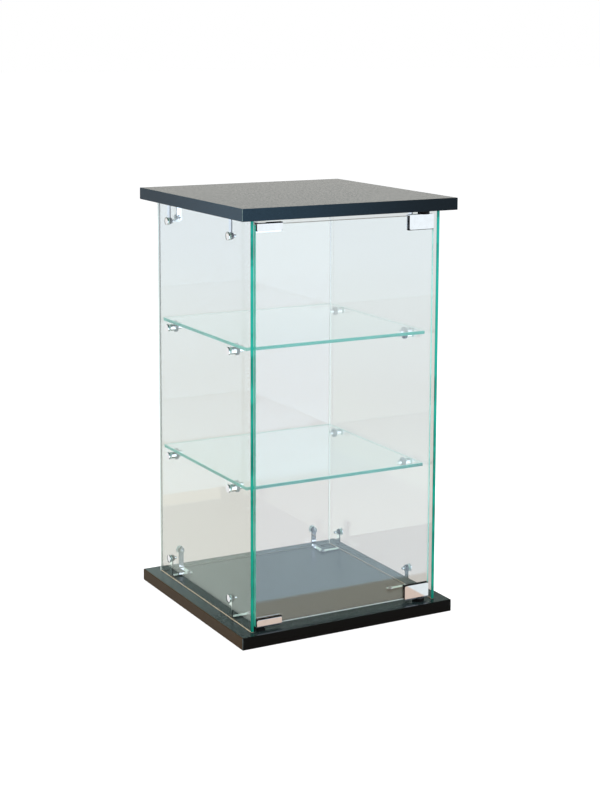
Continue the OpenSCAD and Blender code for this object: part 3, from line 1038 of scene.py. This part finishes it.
@dataclass
class Door(Glazing):
    """The door glass with its hinge clamps, strike clips and liners."""

    title: ClassVar[str] = "door"
    body: Body = Body.DOOR
    # The door's edge finishes are copies of one green glass edge, painted in other tones as
    # painted light: pale on the right and at the arrises, deeper on the free left side, almost
    # white at the foot and head.
    edge: GlassEdge = GlassEdge(
        "door_edge", paint(118, 192, 182), paint(160, 218, 210), paint(90, 166, 154)
    )
    free_edge: GlassEdge = GlassEdge(
        "door_free_edge", paint(56, 156, 134), paint(60, 172, 152), paint(34, 126, 108)
    )
    foot: GroundArris = GroundArris("door_foot", paint(206, 214, 214), paint(180, 190, 190), 0.1)
    head: GroundArris = GroundArris("door_head", paint(226, 226, 220), paint(214, 214, 206), 0.2)
    arris: GroundArris = GroundArris("door_arris", paint(170, 222, 214), paint(140, 206, 196))
    rounding: float = 0.6 * MM

    def build(self) -> None:
        """Dresses the glass and rounds the edges of the metal on it."""
        ends = {
            Side.LEFT: (self.free_edge, self.free_edge),
            Side.BELOW: (self.foot, self.foot),
            Side.ABOVE: (self.head, self.head),
        }
        self.glaze("door_glass", Axis.Y, self.edge, self.arris, ends)
        for level in ("lower", "upper"):
            self.eased(f"{level}_hinge_clamp", self.rounding, CHROME, "chrome")
            self.eased(f"{level}_strike_clip", self.rounding, CHROME, "chrome")
            self.dress(f"{level}_hinge_liner", BLACK)
            self.dress(f"{level}_strike_liner", BLACK)
            self.dress(f"{level}_pivot_pin", ZINC)
            self.dress(f"{level}_pivot_spacer", BLACK)
        self.dress("hinge_grub_screws", ZINC)
        self.dress("strike_magnet_strips", MAGNETIC)


@dataclass
class DoorStops(SubAssembly):
    """The pivot bushes and catches on the boards."""

    title: ClassVar[str] = "door stops"

    def build(self) -> None:
        """Dresses the bushes, catch cases and magnets."""
        self.dress("lower_pivot_bush", BLACK)
        self.dress("upper_pivot_bush", BLACK)
        self.dress("lower_catch_case", BLACK)
        self.dress("upper_catch_case", NICKEL)
        self.dress("catch_magnets", NICKEL)


@dataclass(frozen=True)
class StudioFloor(Finish):
    """Pale floor that shows white, keeps the object's shadow and shows in glass and metal.

    Stretches are in metres on the floor, with the case at the middle and its door at the
    front, which is the negative way of deep. Those of what shows through glass are natural
    logarithms of the distance from the middle.
    """

    name: str = "studio_floor"
    paper: Colour = (0.8, 0.8, 0.8, 1.0)
    lift: float = 0.55
    through: Colour = (0.66, 0.6, 0.57, 1.0)
    through_on: tuple[Fade, ...] = (
        Fade(-0.8, 0.3, (0.65, 0.61, 0.58, 1.0)),
        Fade(0.3, 1.5, (0.71, 0.72, 0.71, 1.0)),
    )
    rest: Colour = (0.83, 0.88, 0.81, 1.0)
    rest_on: tuple[Fade, ...] = (Fade(0.35, 0.8, (0.71, 0.8, 0.84, 1.0)),)
    warm: Colour = (1.57, 1.36, 1.1, 1.0)
    ahead: Colour = (2.1, 2.53, 2.92, 1.0)
    ahead_on: tuple[Fade, ...] = (
        Fade(-0.6, -1.4, (1.71, 1.98, 2.35, 1.0)),
        Fade(-1.6, -3.6, (1.59, 1.82, 2.11, 1.0)),
    )
    aside: Colour = (1.0, 1.11, 1.01, 1.0)
    aside_on: tuple[Fade, ...] = (
        Fade(-0.35, -0.75, (0.94, 1.05, 1.04, 1.0)),
        Fade(-0.85, -2.2, (0.86, 0.93, 1.06, 1.0)),
    )
    metal_rest: Colour = (0.86, 0.92, 0.93, 1.0)
    metal_warm: Colour = (0.74, 0.59, 0.5, 1.0)
    metal_ahead: Colour = (1.0, 1.06, 1.1, 1.0)
    metal_aside: Colour = (0.93, 0.93, 0.92, 1.0)
    warm_deep: Span = (-0.1, -0.17)
    warm_across: Span = (0.183, 0.177)
    ahead_deep: Span = (-0.304, -0.316)
    aside_across: Span = (-0.18, -0.22)

    def surface(self, graph: Graph) -> Socket:
        """Builds what the camera, the glass and the metal each see of the floor.

        Args:
            graph: The empty tree of its material.

        Returns:
            The shader's socket.
        """
        at = graph.place()
        across, deep, _ = graph.split(at)
        away = graph.reach(at)
        path = graph.add("LightPath").outputs

        in_glass = (
            graph.shade(away, self.rest, self.rest_on),
            self.warm,
            graph.shade(deep, self.ahead, self.ahead_on),
            graph.shade(across, self.aside, self.aside_on),
        )
        in_metal = (self.metal_rest, self.metal_warm, self.metal_ahead, self.metal_aside)
        warm = graph.maths(
            "MULTIPLY",
            graph.between(deep, self.warm_deep),
            graph.between(across, self.warm_across),
        )
        shares = (
            warm,
            graph.between(deep, self.ahead_deep),
            graph.between(across, self.aside_across),
        )
        tones = []
        for tone, *later in (in_metal, in_glass):
            for share, following in zip(shares, later):
                tone = graph.blend(share, tone, following)
            tones.append(tone)
        mirrored = graph.blend(path["Is Singular Ray"], *tones)

        steps = graph.maths("LOGARITHM", away, math.e)
        through = graph.shade(steps, self.through, self.through_on)
        lift = graph.maths("MULTIPLY", path["Is Camera Ray"], self.lift)
        seen = graph.add("Emission", Color=WHITE, Strength=lift).outputs[0]
        lit = graph.summed(graph.add("BsdfDiffuse", Color=self.paper).outputs[0], seen)
        beyond = graph.add("Emission", Color=through).outputs[0]
        straight = graph.mixed(path["Is Transmission Ray"], lit, beyond)
        mirror = graph.add("Emission", Color=mirrored).outputs[0]
        return graph.mixed(graph.mirrored(), straight, mirror)


@dataclass(frozen=True)
class Lamp:
    """A square soft lamp: its name, place and side in metres, and power in watts."""

    name: str
    place: Point
    size: float
    power: float


@dataclass
class Studio:
    """Camera at the photograph's angle, a pale floor, a white world and three soft lamps.

    Places are in metres, the camera's turn, dip and roll in radians, and its lens and sensor
    in millimetres. The stretches of the room's tones are parts of a direction of length 1.
    """

    place: Point = (-1.204636, -2.221070, 0.877566)
    turn: float = 0.500477
    dip: float = 0.142470
    roll: float = 0.003882
    lens: float = 75.22
    sensor: float = 36
    shift: float = -0.1625
    floor_half: float = 30.0
    floor_gap: float = 0.2 * MM
    sky: Colour = (0.62, 0.62, 0.6324, 1)
    room: Colour = (1.04, 1.0, 0.95, 1.0)
    room_up: tuple[Fade, ...] = (
        Fade(0.1, 0.19, (0.66, 0.68, 0.66, 1.0)),
        Fade(0.2, 0.32, (0.47, 0.59, 0.52, 1.0)),
    )
    front: Colour = (0.05, 0.05, 0.06, 1.0)
    front_across: tuple[Fade, ...] = (
        Fade(-0.15, 0.25, (1.39, 1.51, 1.77, 1.0)),
        Fade(0.58, 0.66, (0.6, 0.64, 0.68, 1.0)),
    )
    front_deep: Span = (-0.05, -0.35)
    ceiling: tuple[Fade, ...] = (Fade(0.45, 0.75, (0.15, 0.18, 0.19, 1.0)),)
    horizon: Colour = (0.71, 0.725, 0.71, 1.0)
    zenith: tuple[Fade, ...] = (Fade(0.0, 0.5, (0.82, 0.84, 0.84, 1.0)),)
    bounces: int = 20
    clear_bounces: int = 24
    glossy_bounces: int = 8
    aim: Point = (0, 0, 0.3)
    lamps: tuple[Lamp, ...] = (
        Lamp("key", (-2.0, -1.4, 1.9), 1.4, 34),
        Lamp("fill", (2.0, -1.8, 1.5), 1.4, 14),
        Lamp("top", (0.2, 0.6, 2.6), 1.6, 22),
    )

    def camera(self) -> None:
        """Sets up the camera, with as much shift as the photograph's framing needs."""
        level = math.cos(self.dip)
        ahead = Vector(
            (math.sin(self.turn) * level, math.cos(self.turn) * level, -math.sin(self.dip))
        )
        right = Vector((math.cos(self.turn), -math.sin(self.turn), 0))
        above = right.cross(ahead)
        x = math.cos(self.roll) * right + math.sin(self.roll) * above
        y = -math.sin(self.roll) * right + math.cos(self.roll) * above
        lens = bpy.data.cameras.new("camera")
        lens.lens, lens.sensor_width, lens.shift_y = self.lens, self.sensor, self.shift
        camera = bpy.data.objects.new("camera", lens)
        turned = Matrix((x, y, -ahead)).transposed().to_4x4()
        camera.matrix_world = Matrix.Translation(Vector(self.place)) @ turned
        bpy.context.scene.collection.objects.link(camera)
        bpy.context.scene.camera = camera

    def floor(self) -> None:
        """Lays the floor under the base board."""
        shape = bmesh.new()
        corners = [
            shape.verts.new((x * self.floor_half, y * self.floor_half, -self.floor_gap))
            for x, y in ((-1, -1), (1, -1), (1, 1), (-1, 1))
        ]
        shape.faces.new(corners)
        mesh = bpy.data.meshes.new("floor")
        shape.to_mesh(mesh)
        shape.free()
        mesh.materials.append(StudioFloor().material())
        floor = bpy.data.objects.new("floor", mesh)
        bpy.context.scene.collection.objects.link(floor)

    def world(self) -> None:
        """Makes the world white to the camera, and a graded room to glass and metal."""
        world = bpy.data.worlds.new("studio")
        bpy.context.scene.world = world
        graph = Graph(world)
        path = graph.add("LightPath").outputs
        across, deep, height = graph.split(graph.add("TexCoord").outputs["Generated"])
        back = graph.shade(height, self.room, self.room_up)
        front = graph.shade(across, self.front, self.front_across)
        room = graph.blend(graph.between(deep, self.front_deep), back, front)
        room = graph.shade(height, room, self.ceiling)
        through = graph.shade(height, self.horizon, self.zenith)
        straight = graph.blend(path["Is Transmission Ray"], self.sky, through)
        straight = graph.blend(path["Is Camera Ray"], straight, WHITE)
        colour = graph.blend(graph.mirrored(), straight, room)
        graph.finish("World", graph.add("Background", Color=colour).outputs[0])

    def hang(self, lamp: Lamp) -> None:
        """Hangs a lamp that looks at the middle of the tower and that no mirror shows.

        Args:
            lamp: The lamp.
        """
        light = bpy.data.lights.new(lamp.name, "AREA")
        light.size, light.energy = lamp.size, lamp.power
        hung = bpy.data.objects.new(lamp.name, light)
        hung.visible_glossy = False
        hung.visible_transmission = False
        hung.location = lamp.place
        hung.rotation_mode = "QUATERNION"
        hung.rotation_quaternion = (Vector(self.aim) - hung.location).to_track_quat("-Z", "Y")
        bpy.context.scene.collection.objects.link(hung)

    def build(self) -> None:
        """Sets up the floor, the world, the lamps and the light paths."""
        self.floor()
        self.world()
        for lamp in self.lamps:
            self.hang(lamp)
        paths = bpy.context.scene.cycles
        paths.max_bounces = paths.transmission_bounces = self.bounces
        paths.transparent_max_bounces = self.clear_bounces
        paths.glossy_bounces = self.glossy_bounces
        paths.caustics_reflective = False
        bpy.context.scene.view_settings.view_transform = "Standard"


def main() -> None:
    """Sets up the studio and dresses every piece."""
    logging.basicConfig(level=logging.INFO, format="%(message)s")
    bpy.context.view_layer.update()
    studio = Studio()
    studio.camera()
    studio.build()
    groups: tuple[SubAssembly, ...] = (
        Boards(), GlassCase(), Shelves(), ShelfStuds(), CornerBrackets(), Door(), DoorStops()
    )
    for group in groups:
        group.build()


if __name__ == "__main__":
    main()
